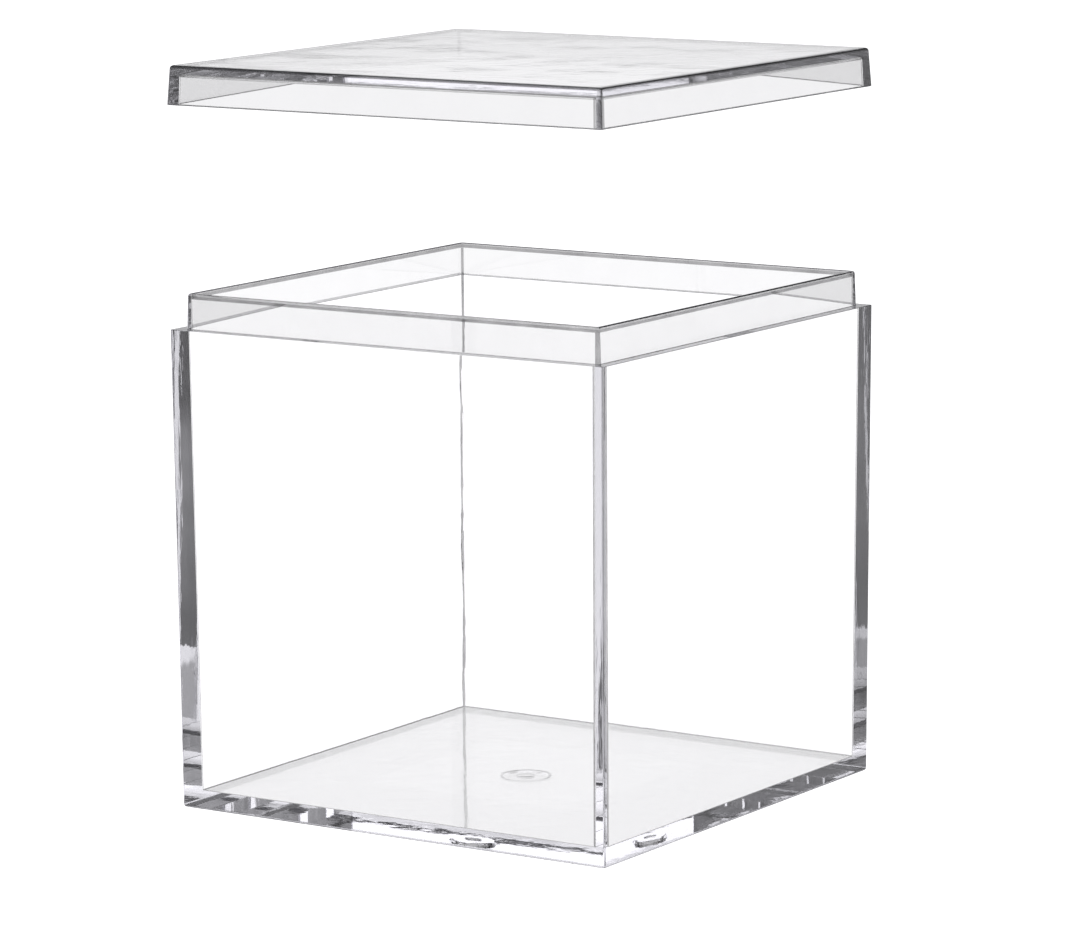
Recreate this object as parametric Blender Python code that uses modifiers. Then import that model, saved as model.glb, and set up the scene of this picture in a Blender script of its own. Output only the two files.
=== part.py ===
"""Clear moulded display cube: a square open box with a stepped neck, and a lift-off lid held above it."""

import math

import bpy
import bmesh

# Driving dimensions, in metres. Widths are across the flats of a square, centred on the Z axis.
SHOULDER_WIDTH = 0.0650  # the box's widest section, and its nominal size
BASE_WIDTH = 0.0642  # the walls narrow downwards, so that the box leaves its mould
SHOULDER_Z = 0.0619
FLOOR = 0.0022
CAVITY_FLOOR_WIDTH = 0.0598
CAVITY_MOUTH_WIDTH = 0.0609

NECK_HEIGHT = 0.0045
NECK_BASE_WIDTH = 0.06205
NECK_TOP_WIDTH = 0.06180

GATE_DIAMETER = 0.0062  # dished round the stub where the plastic entered the mould
GATE_DEPTH = 0.0004
STUB_DIAMETER = 0.0020
STUB_HEIGHT = 0.00025

LID_HEIGHT = 0.0050
LID_PLATE = 0.0012
LID_RIM_WIDTH = SHOULDER_WIDTH
LID_TOP_WIDTH = 0.0644
LID_INSIDE_RIM_WIDTH = 0.0623
LID_INSIDE_TOP_WIDTH = 0.0621
LID_RIM_Z = 0.09035  # the lid is held up off the box, level and square to it

# Edge radii
CORNER_RADIUS = 0.0005  # upright outer corners of the box and the lid
BASE_RADIUS = 0.0004
CAVITY_RADIUS = 0.0005
NECK_CORNER_RADIUS = 0.0007
NECK_RIM_RADIUS = 0.00035
LID_TOP_RADIUS = 0.0004
LID_INSIDE_RADIUS = 0.0004

OVERRUN = 0.002  # how far a cutter or a joined block reaches past the surface that it crosses
ROUND_SEGMENTS = 4
GATE_SIDES = 40
CLEAR_PLASTIC_IOR = 1.49


def clear_scene():
    for scene_object in list(bpy.data.objects):
        bpy.data.objects.remove(scene_object)


def new_collection(name):
    collection = bpy.data.collections.new(name)
    bpy.context.scene.collection.children.link(collection)
    return collection


def link_mesh(name, bm, collection):
    mesh = bpy.data.meshes.new(name)
    bm.to_mesh(mesh)
    bm.free()
    made = bpy.data.objects.new(name, mesh)
    collection.objects.link(made)
    return made


def width_at(z, z_low, width_low, z_high, width_high):
    """The width of a draughted square block at height z, also past its ends."""
    return width_low + (width_high - width_low) * (z - z_low) / (z_high - z_low)


def draughted_block(name, collection, widths, heights, upright_radius, end_radius, rounded_end=None):
    """A square block whose width runs from widths[0] to widths[1] between two heights.

    Its upright edges are rounded to upright_radius, and the edges round its "top" or "bottom" to end_radius.
    """
    bm = bmesh.new()
    bmesh.ops.create_cube(bm, size=1.0)
    for vert in bm.verts:
        upper = vert.co.z > 0
        vert.co.x *= widths[upper]
        vert.co.y *= widths[upper]
        vert.co.z = heights[upper]
    largest = max(upright_radius, end_radius)
    weight = bm.edges.layers.float.new("bevel_weight_edge")
    for edge in bm.edges:
        low, high = sorted(vert.co.z for vert in edge.verts)
        if high > low:
            edge[weight] = upright_radius / largest
        elif rounded_end and low == heights[rounded_end == "top"]:
            edge[weight] = end_radius / largest
    block = link_mesh(name, bm, collection)
    bevel = block.modifiers.new("rounded_edges", "BEVEL")
    bevel.limit_method = "WEIGHT"
    bevel.width = largest
    bevel.segments = ROUND_SEGMENTS
    return block


def disc(name, collection, diameter, z_low, z_high):
    bm = bmesh.new()
    bmesh.ops.create_cone(
        bm, cap_ends=True, segments=GATE_SIDES, radius1=diameter / 2, radius2=diameter / 2, depth=z_high - z_low
    )
    made = link_mesh(name, bm, collection)
    made.location.z = (z_low + z_high) / 2
    return made


def combine(target, other, operation):
    other.hide_render = True
    other.display_type = "WIRE"
    step = target.modifiers.new(other.name, "BOOLEAN")
    step.operation = operation
    step.object = other
    step.solver = "EXACT"


def clear_plastic(name):
    material = bpy.data.materials.new(name)
    material.use_nodes = True
    shader = material.node_tree.nodes["Principled BSDF"]
    shader.inputs["Base Color"].default_value = (0.95, 0.96, 0.97, 1.0)
    shader.inputs["Metallic"].default_value = 0.0
    shader.inputs["Roughness"].default_value = 0.03
    shader.inputs["IOR"].default_value = CLEAR_PLASTIC_IOR
    shader.inputs["Transmission Weight"].default_value = 1.0
    return material


def finish(part, material):
    part.data.materials.append(material)
    part.data.shade_smooth()
    part.data.set_sharp_from_angle(angle=math.radians(30))


def make_box_body(parts, cutters):
    """The box: draughted walls and floor, with a thinner neck standing on the shoulder for the lid to slip over."""
    neck_top = SHOULDER_Z + NECK_HEIGHT
    box = draughted_block(
        "box_body",
        parts,
        (BASE_WIDTH, SHOULDER_WIDTH),
        (0.0, SHOULDER_Z),
        CORNER_RADIUS,
        BASE_RADIUS,
        "bottom",
    )
    neck_foot = SHOULDER_Z - OVERRUN
    neck_foot_width = width_at(neck_foot, SHOULDER_Z, NECK_BASE_WIDTH, neck_top, NECK_TOP_WIDTH)
    neck = draughted_block(
        "neck_block",
        cutters,
        (neck_foot_width, NECK_TOP_WIDTH),
        (neck_foot, neck_top),
        NECK_CORNER_RADIUS,
        NECK_RIM_RADIUS,
        "top",
    )
    cavity_top = neck_top + OVERRUN
    cavity_top_width = width_at(cavity_top, FLOOR, CAVITY_FLOOR_WIDTH, neck_top, CAVITY_MOUTH_WIDTH)
    cavity = draughted_block(
        "cavity_cutter",
        cutters,
        (CAVITY_FLOOR_WIDTH, cavity_top_width),
        (FLOOR, cavity_top),
        CAVITY_RADIUS,
        CAVITY_RADIUS,
        "bottom",
    )
    dish = disc("gate_dish_cutter", cutters, GATE_DIAMETER, -OVERRUN, GATE_DEPTH)
    stub = disc("gate_stub", cutters, STUB_DIAMETER, GATE_DEPTH - STUB_HEIGHT, FLOOR / 2)
    combine(box, neck, "UNION")
    combine(box, cavity, "DIFFERENCE")
    combine(box, dish, "DIFFERENCE")
    combine(box, stub, "UNION")
    finish(box, clear_plastic("box_clear_plastic"))
    return box


def make_lid(parts, cutters):
    """The lid: a flat plate with a draughted skirt that slips down over the neck."""
    lid = draughted_block(
        "lid",
        parts,
        (LID_RIM_WIDTH, LID_TOP_WIDTH),
        (0.0, LID_HEIGHT),
        CORNER_RADIUS,
        LID_TOP_RADIUS,
        "top",
    )
    inside_top = LID_HEIGHT - LID_PLATE
    inside_foot_width = width_at(-OVERRUN, 0.0, LID_INSIDE_RIM_WIDTH, inside_top, LID_INSIDE_TOP_WIDTH)
    inside = draughted_block(
        "lid_inside_cutter",
        cutters,
        (inside_foot_width, LID_INSIDE_TOP_WIDTH),
        (-OVERRUN, inside_top),
        LID_INSIDE_RADIUS,
        LID_INSIDE_RADIUS,
        "top",
    )
    inside.parent = lid
    combine(lid, inside, "DIFFERENCE")
    finish(lid, clear_plastic("lid_clear_plastic"))
    lid.location.z = LID_RIM_Z
    return lid


def main():
    clear_scene()
    parts = new_collection("acrylic_display_cube")
    cutters = new_collection("cutters")
    make_box_body(parts, cutters)
    make_lid(parts, cutters)
    bpy.context.view_layer.update()


main()
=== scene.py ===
"""Looks for the clear display cube: finely finished clear mouldings on a white studio table."""

import math
from collections import namedtuple

import bmesh
import bpy
from mathutils import Euler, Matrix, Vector


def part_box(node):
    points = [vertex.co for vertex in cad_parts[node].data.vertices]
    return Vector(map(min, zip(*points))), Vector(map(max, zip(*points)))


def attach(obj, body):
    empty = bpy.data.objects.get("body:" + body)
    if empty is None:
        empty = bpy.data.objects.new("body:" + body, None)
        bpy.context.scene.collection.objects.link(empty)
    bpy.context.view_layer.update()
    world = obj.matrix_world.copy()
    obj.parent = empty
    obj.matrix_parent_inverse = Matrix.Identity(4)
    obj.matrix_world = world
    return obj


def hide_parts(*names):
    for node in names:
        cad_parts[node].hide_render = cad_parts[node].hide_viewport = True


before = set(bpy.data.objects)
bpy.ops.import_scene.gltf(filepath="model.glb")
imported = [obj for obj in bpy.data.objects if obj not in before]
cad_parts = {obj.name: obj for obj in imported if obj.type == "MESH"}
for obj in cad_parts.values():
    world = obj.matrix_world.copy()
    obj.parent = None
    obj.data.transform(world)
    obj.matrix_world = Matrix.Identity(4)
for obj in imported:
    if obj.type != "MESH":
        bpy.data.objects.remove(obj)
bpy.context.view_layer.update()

# The frame's own sizes, in metres
BOX_LOW, BOX_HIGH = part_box("box_body")
LID_LOW, LID_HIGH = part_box("lid")
WIDTH = BOX_HIGH[0] - BOX_LOW[0]
HALF = WIDTH / 2
RIM_Z = BOX_HIGH[2]
LID_RIM_Z = LID_LOW[2]
LID_TOP_Z = LID_HIGH[2]

# Details of the mouldings, in metres. Half widths are measured from the Z axis to a wall's face.
BASE_HALF = 0.0321
NECK_HEIGHT = 0.0045
SHOULDER_Z = RIM_Z - NECK_HEIGHT
FLOOR = 0.0022
CAVITY_FLOOR_HALF = 0.02999
CAVITY_MOUTH_HALF = 0.030535
NECK_BASE_HALF = 0.03105
NECK_TOP_HALF = 0.03093
GATE_RADIUS = 0.0031
GATE_DEPTH = 0.0004
STUB_RADIUS = 0.0012
STUB_HEIGHT = 0.00025
LID_PLATE = 0.0012
LID_TOP_HALF = 0.0322
LID_INSIDE_RIM_HALF = 0.03115
LID_INSIDE_TOP_HALF = 0.03105
RIM_BAND = 0.0007  # how far down from the rim its painted shade reaches
LID_BAND = 0.0010  # how far in from the edge the top of the lid is painted grey as shade

# Radii of rounded edges, in metres
CRISP = 0.00008  # an edge that looks sharp
BASE_ROUNDING = 0.0004
CAVITY_ROUNDING = 0.00012
RIM_ROUNDING = 0.0003
LID_ROUNDING = 0.0004
GATE_ROUNDING = 0.00016
BOX_CORNER = 0.00025  # upright edges, seen from above
NECK_CORNER = 0.0004
LID_CORNER = 0.0005
LID_INSIDE_CORNER = 0.0003

# Rings of the gate mark, as shares of its radius
GATE_MOUTH = 1.04
GATE_SURROUND = 1.3
STUB_MIDDLE = 0.1  # of the stub's radius

ARC_STEPS = 8
CORNER_STEPS = 10

# The plastic; sizes and heights in metres
IOR = 1.49
# The grey painted on edges and bands as shade, standing in for the darker surroundings that they reflect and
# refract
PAINTED_EDGE_SHADE = (0.05, 0.049, 0.054, 1.0)
DEPTH_GREY = (0.795, 0.79, 0.825, 1.0)
DEPTH_DENSITY = 20.0
FLOW_STRETCH = 0.12  # moulding waves are longer up and down than across
WAVE_SIZE = 0.009
WAVE_HEIGHT = 0.000020
RIPPLE_SIZE = 0.0015
RIPPLE_HEIGHT = 0.000003
HAZE_SIZE = 0.012
HAZE = 0.003  # roughness where the haze is thickest
HAZE_NOISE = (0.45, 0.75)  # noise from no haze to the thickest
UNEVEN_SIZE = 0.004
UNEVEN_NOISE = (0.3, 0.7)
UNEVEN = (-0.12, 0.08)  # what the noise adds to the painted shade of a fully shaded edge
SEED_SHIFT = Vector((0.37, 0.19, 0.11))  # moves the noises apart from piece to piece

# The studio. Brightnesses are shares of full white.
LIGHT = (0.99, 0.987, 1.0, 1.0)  # the colour of all its light
WHITE = 1.3  # brighter than the picture can show, so that it stays white behind the plastic
TABLE_WHITE = 1.2
TABLE_HALF = 6.0
TABLE_GAP = 0.0001  # keeps the table clear of the box's underside
UNDER_BOX = 0.69  # the table under the box, which gets less light
UNDER_BOX_FADE = 1.15  # where the table is fully lit again, as a share of the box's half width
CEILING = 0.30
CEILING_LOW = 0.24  # sine of the angle above the table where the backdrop ends
CEILING_HIGH = 0.42  # and where the ceiling is fully dark
MIRRORED = 0.55  # what the outer faces mirror of the room is darker than the backdrop
BOUNCE_KEEP = 0.95  # the share of the light that is left after each reflection
FEW_BOUNCES = 2.5  # light reflected more often than this has run along inside the plastic
PIPED = 1.6  # how much brighter the studio is for such light

# The dark flags, which only such light shows. Distances are in metres from the box's walls.
FLAG_EDGE = 0.0  # where they start, as x*y over the square of the distance from the Z axis
FLAG_FULL = 0.05  # and where they are full
FLAG_SHADE = 0.095  # the share of the light left where they are darkest
FLAG_LIGHT = 0.31  # and where they are lightest
MOTTLE_SCALE = 5.0
MOTTLE_NOISE = (0.40, 0.62)  # noise from the flags' darkest to their lightest
NEAR_X = 0.021  # beside the box they change sides on the table, up to this far from it
NEAR_Y = 0.048
NEAR_FADE = 0.4  # and are weaker there by this share
FLAG_GAP = 0.007  # this close to the box
GAP_SHARE = 0.3  # only this share of them is left

# The camera; its place is in box widths, and its turn in degrees
CAMERA_PLACE = Vector((5.681, -8.585, 2.358))
CAMERA_TURN = (80.60, 0.43, 33.28)
LENS_MM = 175.5
SENSOR_MM = 36.0
CLIP_START = 0.01
LIGHT_BOUNCES = 64


# A corner of a profile: its half width and height, the radius that rounds it, the radius of the upright
# edges at its height, and how much painted shade the rounding, the wall after it and that wall's upright
# edges get.
Corner = namedtuple("Corner", "half z radius plan edge wall upright")


def fillet_profile(corners):
    """Rounds a profile's corners.

    A row is its half width, z and plan radius, then the painted shade of the band of faces that follows and
    the painted shade of that band's upright edges.
    """
    rows = []
    for index, corner in enumerate(corners):
        here = Vector((corner.half, corner.z))
        if corner.radius == 0 or index in (0, len(corners) - 1):
            rows.append((corner.half, corner.z, corner.plan, corner.wall, corner.upright))
            continue
        before = Vector((corners[index - 1].half, corners[index - 1].z)) - here
        after = Vector((corners[index + 1].half, corners[index + 1].z)) - here
        opening = before.angle(after)
        reach = corner.radius / math.tan(opening / 2)
        start, end = before.normalized() * reach, after.normalized() * reach
        inward = (before.normalized() + after.normalized()).normalized()
        centre = inward * (corner.radius / math.sin(opening / 2))
        first, last = start - centre, end - centre
        sweep = first.angle(last)
        for step in range(ARC_STEPS + 1):
            share = step / ARC_STEPS
            spoke = (first * math.sin((1 - share) * sweep) + last * math.sin(share * sweep)) / math.sin(sweep)
            point = here + centre + spoke
            painted_shade = corner.edge if step < ARC_STEPS else corner.wall
            rows.append((point.x, point.y, corner.plan, painted_shade, max(painted_shade, corner.upright)))
    return rows


def square_ring(half, corner):
    """Points round a square with rounded corners, anticlockwise from the +Y end of the +X side."""
    ring = []
    for quarter in range(4):
        middle = math.radians(45 + 90 * quarter)
        centre = Vector((math.cos(middle), math.sin(middle))) * (half - corner) * math.sqrt(2)
        for step in range(CORNER_STEPS + 1):
            angle = middle + math.radians(90) * (step / CORNER_STEPS - 0.5)
            ring.append(centre + Vector((math.cos(angle), math.sin(angle))) * corner)
    return ring


def round_ring(radius):
    """As many points round a circle as square_ring has, each facing its partner there."""
    ring = []
    for quarter in range(4):
        middle = math.radians(45 + 90 * quarter)
        for step in range(CORNER_STEPS + 1):
            spread = step / CORNER_STEPS - 0.5
            angle = middle + math.radians(90 * CORNER_STEPS / (CORNER_STEPS + 1)) * spread
            ring.append(Vector((math.cos(angle), math.sin(angle))) * radius)
    return ring


def square_rings(rows):
    return [(square_ring(half, plan), z, painted_shade, upright) for half, z, plan, painted_shade, upright in rows]


def round_rings(rows):
    return [(round_ring(radius), z, painted_shade, painted_shade) for radius, z, _, painted_shade, _ in rows]


def skin(name, rings):
    """A closed body through rings of (points, z, painted shade, painted shade of the upright edges), capped
    flat at both ends.

    The face attribute says how much of the grey painted on edges as shade each face has.
    """
    bm = bmesh.new()
    painted_shades = bm.faces.layers.float.new("painted_shade")
    rows = [[bm.verts.new((p.x, p.y, z)) for p in points] for points, z, _, _ in rings]
    count = len(rows[0])
    for (low, high), (_, _, painted_shade, upright) in zip(zip(rows, rows[1:]), rings):
        for i in range(count):
            j = (i + 1) % count
            face = bm.faces.new((low[i], low[j], high[j], high[i]))
            in_corner = i % (CORNER_STEPS + 1) != CORNER_STEPS
            face[painted_shades] = upright if in_corner else painted_shade
    bm.faces.new(reversed(rows[0]))
    bm.faces.new(rows[-1])
    bmesh.ops.recalc_face_normals(bm, faces=bm.faces)
    mesh = bpy.data.meshes.new(name)
    bm.to_mesh(mesh)
    bm.free()
    mesh.shade_smooth()
    piece = bpy.data.objects.new(name, mesh)
    bpy.context.scene.collection.objects.link(piece)
    even = piece.modifiers.new("even_normals", "WEIGHTED_NORMAL")
    even.weight = 100
    even.keep_sharp = True
    return piece


def half_at(z, low, high):
    """The half width at height z of a wall between two (half width, z) corners."""
    return low[0] + (high[0] - low[0]) * (z - low[1]) / (high[1] - low[1])


def box_rings():
    """The box, from the gate mark under its floor, up the outside and down into the cavity."""
    stub_end = GATE_DEPTH - STUB_HEIGHT
    gate = [
        Corner(STUB_RADIUS * STUB_MIDDLE, stub_end, 0, 0, 0, 0.3, 0.3),
        Corner(STUB_RADIUS, stub_end, CRISP, 0, 0.5, 0.5, 0),
        Corner(STUB_RADIUS, GATE_DEPTH, CRISP, 0, 0.4, 0.3, 0.3),
        Corner(GATE_RADIUS, GATE_DEPTH, GATE_ROUNDING, 0, 0.35, 0.3, 0),
        Corner(GATE_RADIUS * GATE_MOUTH, 0.0, GATE_ROUNDING, 0, 0.3, 0, 0),
        Corner(GATE_RADIUS * GATE_SURROUND, 0.0, 0, 0, 0, 0, 0),
    ]
    band_z = RIM_Z - RIM_BAND
    neck_band = half_at(band_z, (NECK_BASE_HALF, SHOULDER_Z), (NECK_TOP_HALF, RIM_Z))
    mouth_band = half_at(band_z, (CAVITY_FLOOR_HALF, FLOOR), (CAVITY_MOUTH_HALF, RIM_Z))
    walls = [
        gate[-1],  # only for the direction that the underside comes from
        Corner(BASE_HALF, 0.0, BASE_ROUNDING, BOX_CORNER, 0.3, 0, 0.04),
        Corner(HALF, SHOULDER_Z, CRISP, BOX_CORNER, 0.4, 0.2, 0.2),
        Corner(NECK_BASE_HALF, SHOULDER_Z, CRISP, NECK_CORNER, 0.6, 0.37, 0.33),
        Corner(neck_band, band_z, 0, NECK_CORNER, 0.72, 0.72, 0.72),
        Corner(NECK_TOP_HALF, RIM_Z, RIM_ROUNDING, NECK_CORNER, 0.3, 0.3, 0.3),
        Corner(CAVITY_MOUTH_HALF, RIM_Z, CRISP, BOX_CORNER, 1.0, 0.72, 0.8),
        Corner(mouth_band, band_z, 0, BOX_CORNER, 0, 0, 0.9),
        Corner(CAVITY_FLOOR_HALF, FLOOR, CAVITY_ROUNDING, BOX_CORNER, 0.6, 0.05, 0.05),
        Corner(CAVITY_FLOOR_HALF / 2, FLOOR, 0, BOX_CORNER, 0, 0, 0),
    ]
    return round_rings(fillet_profile(gate)) + square_rings(fillet_profile(walls)[1:])


def lid_rings():
    """The lid, from under its plate, down the inside, round the rim and up over the top."""
    underside = LID_TOP_Z - LID_PLATE
    walls = [
        Corner(LID_INSIDE_TOP_HALF / 2, underside, 0, NECK_CORNER, 0, 0, 0),
        Corner(LID_INSIDE_TOP_HALF, underside, LID_ROUNDING, LID_INSIDE_CORNER, 0.6, 0.32, 0.9),
        Corner(LID_INSIDE_RIM_HALF, LID_RIM_Z, CRISP, LID_INSIDE_CORNER, 0.8, 0.4, 0.4),
        Corner(HALF, LID_RIM_Z, CRISP, LID_CORNER, 0.8, 0.16, 0.5),
        Corner(LID_TOP_HALF, LID_TOP_Z, LID_ROUNDING, LID_CORNER, 0.8, 0.8, 0.8),
        Corner(LID_TOP_HALF - LID_BAND, LID_TOP_Z, 0, LID_CORNER, 0, 0, 0),
        Corner(LID_TOP_HALF / 2, LID_TOP_Z, 0, LID_CORNER, 0, 0, 0),
    ]
    return square_rings(fillet_profile(walls))


def math_node(tree, operation, *values):
    """A Math node's output; each value is a number or another node's output."""
    node = tree.nodes.new("ShaderNodeMath")
    node.operation = operation
    for socket, value in zip(node.inputs, values):
        if isinstance(value, (int, float)):
            socket.default_value = value
        else:
            tree.links.new(value, socket)
    return node.outputs[0]


def multiply(tree, first, *others):
    product = first
    for value in others:
        product = math_node(tree, "MULTIPLY", product, value)
    return product


def less(tree, *values):
    """What is left of 1 when the product of the values is taken away."""
    return math_node(tree, "SUBTRACT", 1.0, multiply(tree, *values))


def map_range(tree, value, span, to_span, smooth=False):
    node = tree.nodes.new("ShaderNodeMapRange")
    node.interpolation_type = "SMOOTHSTEP" if smooth else "LINEAR"
    tree.links.new(value, node.inputs["Value"])
    node.inputs["From Min"].default_value, node.inputs["From Max"].default_value = span
    node.inputs["To Min"].default_value, node.inputs["To Max"].default_value = to_span
    return node.outputs[0]


def noise(tree, vector, scale, detail):
    node = tree.nodes.new("ShaderNodeTexNoise")
    node.inputs["Scale"].default_value = scale
    node.inputs["Detail"].default_value = detail
    tree.links.new(vector, node.inputs["Vector"])
    return node.outputs["Fac"]


def bump(tree, height, distance):
    node = tree.nodes.new("ShaderNodeBump")
    node.inputs["Distance"].default_value = distance
    tree.links.new(height, node.inputs["Height"])
    return node


def clear_plastic(name, seed):
    """Clear moulded plastic: cool grey in depth, with moulding waves, polishing haze and shade painted grey
    on its edges.
    """
    material = bpy.data.materials.new(name)
    material.use_nodes = True
    tree = material.node_tree
    shader = tree.nodes["Principled BSDF"]
    shader.inputs["IOR"].default_value = IOR
    shader.inputs["Transmission Weight"].default_value = 1.0
    place = tree.nodes.new("ShaderNodeTexCoord").outputs["Object"]
    offset = tree.nodes.new("ShaderNodeMapping")
    offset.inputs["Location"].default_value = SEED_SHIFT * seed
    tree.links.new(place, offset.inputs["Vector"])
    flow = tree.nodes.new("ShaderNodeMapping")
    flow.inputs["Scale"].default_value = (1.0, 1.0, FLOW_STRETCH)
    tree.links.new(offset.outputs[0], flow.inputs["Vector"])

    waves = bump(tree, noise(tree, flow.outputs[0], 1 / WAVE_SIZE, detail=2.0), WAVE_HEIGHT)
    ripples = bump(tree, noise(tree, flow.outputs[0], 1 / RIPPLE_SIZE, detail=3.0), RIPPLE_HEIGHT)
    tree.links.new(waves.outputs[0], ripples.inputs["Normal"])
    tree.links.new(ripples.outputs[0], shader.inputs["Normal"])
    haze = noise(tree, offset.outputs[0], 1 / HAZE_SIZE, detail=4.0)
    tree.links.new(map_range(tree, haze, HAZE_NOISE, (0.0, HAZE)), shader.inputs["Roughness"])

    # Painted shade: the grey on edges stands in for the darker surroundings that they reflect and refract.
    painted_shade = tree.nodes.new("ShaderNodeAttribute")
    painted_shade.attribute_name = "painted_shade"
    edge = painted_shade.outputs["Fac"]
    patches = noise(tree, offset.outputs[0], 1 / UNEVEN_SIZE, detail=3.0)
    uneven = map_range(tree, patches, UNEVEN_NOISE, UNEVEN)
    painted_greyness = math_node(tree, "ADD", edge, multiply(tree, edge, edge, uneven))
    mix = tree.nodes.new("ShaderNodeMix")
    mix.data_type = "RGBA"
    mix.inputs["A"].default_value = (1.0, 1.0, 1.0, 1.0)
    mix.inputs["B"].default_value = PAINTED_EDGE_SHADE
    tree.links.new(painted_greyness, mix.inputs["Factor"])
    tree.links.new(mix.outputs["Result"], shader.inputs["Base Color"])
    absorb = tree.nodes.new("ShaderNodeVolumeAbsorption")
    absorb.inputs["Color"].default_value = DEPTH_GREY
    absorb.inputs["Density"].default_value = DEPTH_DENSITY
    tree.links.new(absorb.outputs[0], tree.nodes["Material Output"].inputs["Volume"])
    return material


def make_piece(name, node, body, slot, rings, seed):
    piece = skin(name, rings)
    piece.data.materials.append(clear_plastic(slot, seed))
    piece.visible_shadow = False
    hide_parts(node)
    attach(piece, body)
    return piece


def flag_darkness(tree, place, turn, reach):
    """The share of the light that the dark flags take, at a place or in a direction.

    They stand where x*y is positive. A turn of -1 puts them on the other two sides, and reach weakens them.
    """
    split = tree.nodes.new("ShaderNodeSeparateXYZ")
    tree.links.new(place, split.inputs[0])
    x, y = split.outputs["X"], split.outputs["Y"]
    spread = math_node(tree, "ADD", multiply(tree, x, x), multiply(tree, y, y))
    tiny = 1e-9  # so that nothing is divided by zero
    side = math_node(tree, "DIVIDE", multiply(tree, x, y), math_node(tree, "MAXIMUM", spread, tiny))
    side = multiply(tree, side, turn)
    flag = map_range(tree, side, (FLAG_EDGE, FLAG_FULL), (0.0, 1.0), smooth=True)
    mottle = noise(tree, place, MOTTLE_SCALE, detail=3.0)
    shade = map_range(tree, mottle, MOTTLE_NOISE, (FLAG_SHADE, FLAG_LIGHT))
    return multiply(tree, flag, reach, less(tree, shade))


def studio_light(tree, place, light, turn=1.0, reach=1.0):
    """The brightness of a studio surface at a place, or in a direction, from the middle of the box.

    The camera sees the studio plain white. Light that ran along inside the plastic is brighter, except
    where it shows the dark flags. Each reflection loses a little light, and what the outer faces mirror
    of the room is darker than the backdrop.
    """
    path = tree.nodes.new("ShaderNodeLightPath")
    bounces = path.outputs["Glossy Depth"]  # a whole number, as is the other depth
    inside = math_node(tree, "GREATER_THAN", path.outputs["Transmission Depth"], 0.5)
    bounced = math_node(tree, "GREATER_THAN", bounces, 0.5)
    piped = multiply(tree, inside, math_node(tree, "GREATER_THAN", bounces, FEW_BOUNCES))
    outside = multiply(tree, bounced, less(tree, inside))
    seen = multiply(
        tree,
        light,
        less(tree, piped, flag_darkness(tree, place, turn, reach)),
        math_node(tree, "ADD", 1.0, multiply(tree, piped, PIPED - 1.0)),
        math_node(tree, "POWER", BOUNCE_KEEP, bounces),
        less(tree, outside, 1.0 - MIRRORED),
    )
    lift = multiply(tree, math_node(tree, "SUBTRACT", WHITE, seen), path.outputs["Is Camera Ray"])
    return math_node(tree, "ADD", seen, lift)


def beside_box(tree, past_wall, outward, distance):
    """1 where a place is within a wall's width and less than a distance outward from it, and 0 elsewhere."""
    within = math_node(tree, "LESS_THAN", past_wall, 0.0)
    return multiply(tree, within, math_node(tree, "LESS_THAN", outward, distance))


def table_light(tree, place):
    """The table's brightness: darker under the box, with the flags on other sides close to it."""
    split = tree.nodes.new("ShaderNodeSeparateXYZ")
    tree.links.new(place, split.inputs[0])
    across = math_node(tree, "ABSOLUTE", split.outputs["X"])
    along = math_node(tree, "ABSOLUTE", split.outputs["Y"])
    outward = math_node(tree, "MAXIMUM", across, along)
    table = map_range(tree, outward, (HALF, HALF * UNDER_BOX_FADE), (UNDER_BOX, TABLE_WHITE), smooth=True)
    past_x = math_node(tree, "SUBTRACT", across, HALF)
    past_y = math_node(tree, "SUBTRACT", along, HALF)
    beside_y = beside_box(tree, past_x, past_y, NEAR_Y)
    near = math_node(tree, "MAXIMUM", beside_y, beside_box(tree, past_y, past_x, NEAR_X))
    clear = math_node(tree, "GREATER_THAN", math_node(tree, "SUBTRACT", outward, HALF), FLAG_GAP)
    clear = math_node(tree, "MAXIMUM", clear, GAP_SHARE)
    reach = multiply(tree, clear, less(tree, near, NEAR_FADE))
    return studio_light(tree, place, table, turn=less(tree, near, 2.0), reach=reach)


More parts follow.
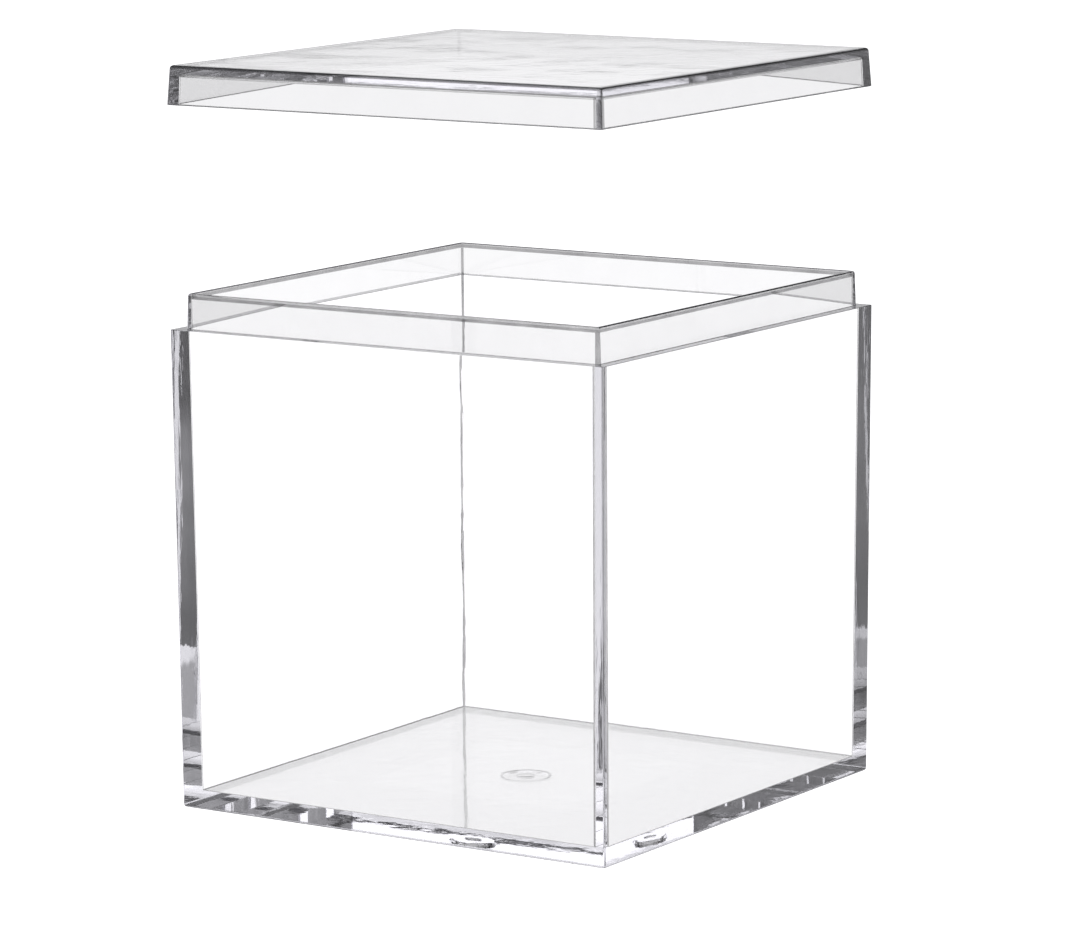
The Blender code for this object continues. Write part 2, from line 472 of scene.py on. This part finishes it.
def make_floor():
    bm = bmesh.new()
    bmesh.ops.create_grid(bm, x_segments=1, y_segments=1, size=TABLE_HALF)
    mesh = bpy.data.meshes.new("studio_floor")
    bm.to_mesh(mesh)
    bm.free()
    floor = bpy.data.objects.new("studio_floor", mesh)
    bpy.context.scene.collection.objects.link(floor)
    floor.location.z = -TABLE_GAP
    material = bpy.data.materials.new("studio_floor")
    material.use_nodes = True
    tree = material.node_tree
    tree.nodes.remove(tree.nodes["Principled BSDF"])
    glow = tree.nodes.new("ShaderNodeEmission")
    place = tree.nodes.new("ShaderNodeTexCoord").outputs["Object"]
    glow.inputs["Color"].default_value = LIGHT
    tree.links.new(table_light(tree, place), glow.inputs["Strength"])
    tree.links.new(glow.outputs[0], tree.nodes["Material Output"].inputs["Surface"])
    mesh.materials.append(material)


def make_world():
    """A white backdrop all round, which turns into a darker ceiling overhead."""
    world = bpy.data.worlds.new("studio")
    bpy.context.scene.world = world
    world.use_nodes = True
    tree = world.node_tree
    background = tree.nodes["Background"]
    direction = tree.nodes.new("ShaderNodeTexCoord").outputs["Generated"]
    split = tree.nodes.new("ShaderNodeSeparateXYZ")
    tree.links.new(direction, split.inputs[0])
    overhead = map_range(tree, split.outputs["Z"], (CEILING_LOW, CEILING_HIGH), (WHITE, CEILING))
    tree.links.new(studio_light(tree, direction, overhead), background.inputs["Strength"])
    background.inputs["Color"].default_value = LIGHT


def make_camera():
    data = bpy.data.cameras.new("camera")
    data.lens = LENS_MM
    data.sensor_width = SENSOR_MM
    data.clip_start = CLIP_START
    camera = bpy.data.objects.new("camera", data)
    bpy.context.scene.collection.objects.link(camera)
    camera.location = CAMERA_PLACE * WIDTH
    camera.rotation_euler = Euler([math.radians(angle) for angle in CAMERA_TURN])
    bpy.context.scene.camera = camera


make_camera()
make_world()
make_floor()
make_piece("clear_box", "box_body", "box", "box_clear_plastic", box_rings(), 1)
make_piece("clear_lid", "lid", "lid", "lid_clear_plastic", lid_rings(), 2)

scene = bpy.context.scene
scene.view_settings.view_transform = "Standard"
scene.cycles.max_bounces = LIGHT_BOUNCES
scene.cycles.glossy_bounces = LIGHT_BOUNCES
scene.cycles.transmission_bounces = LIGHT_BOUNCES
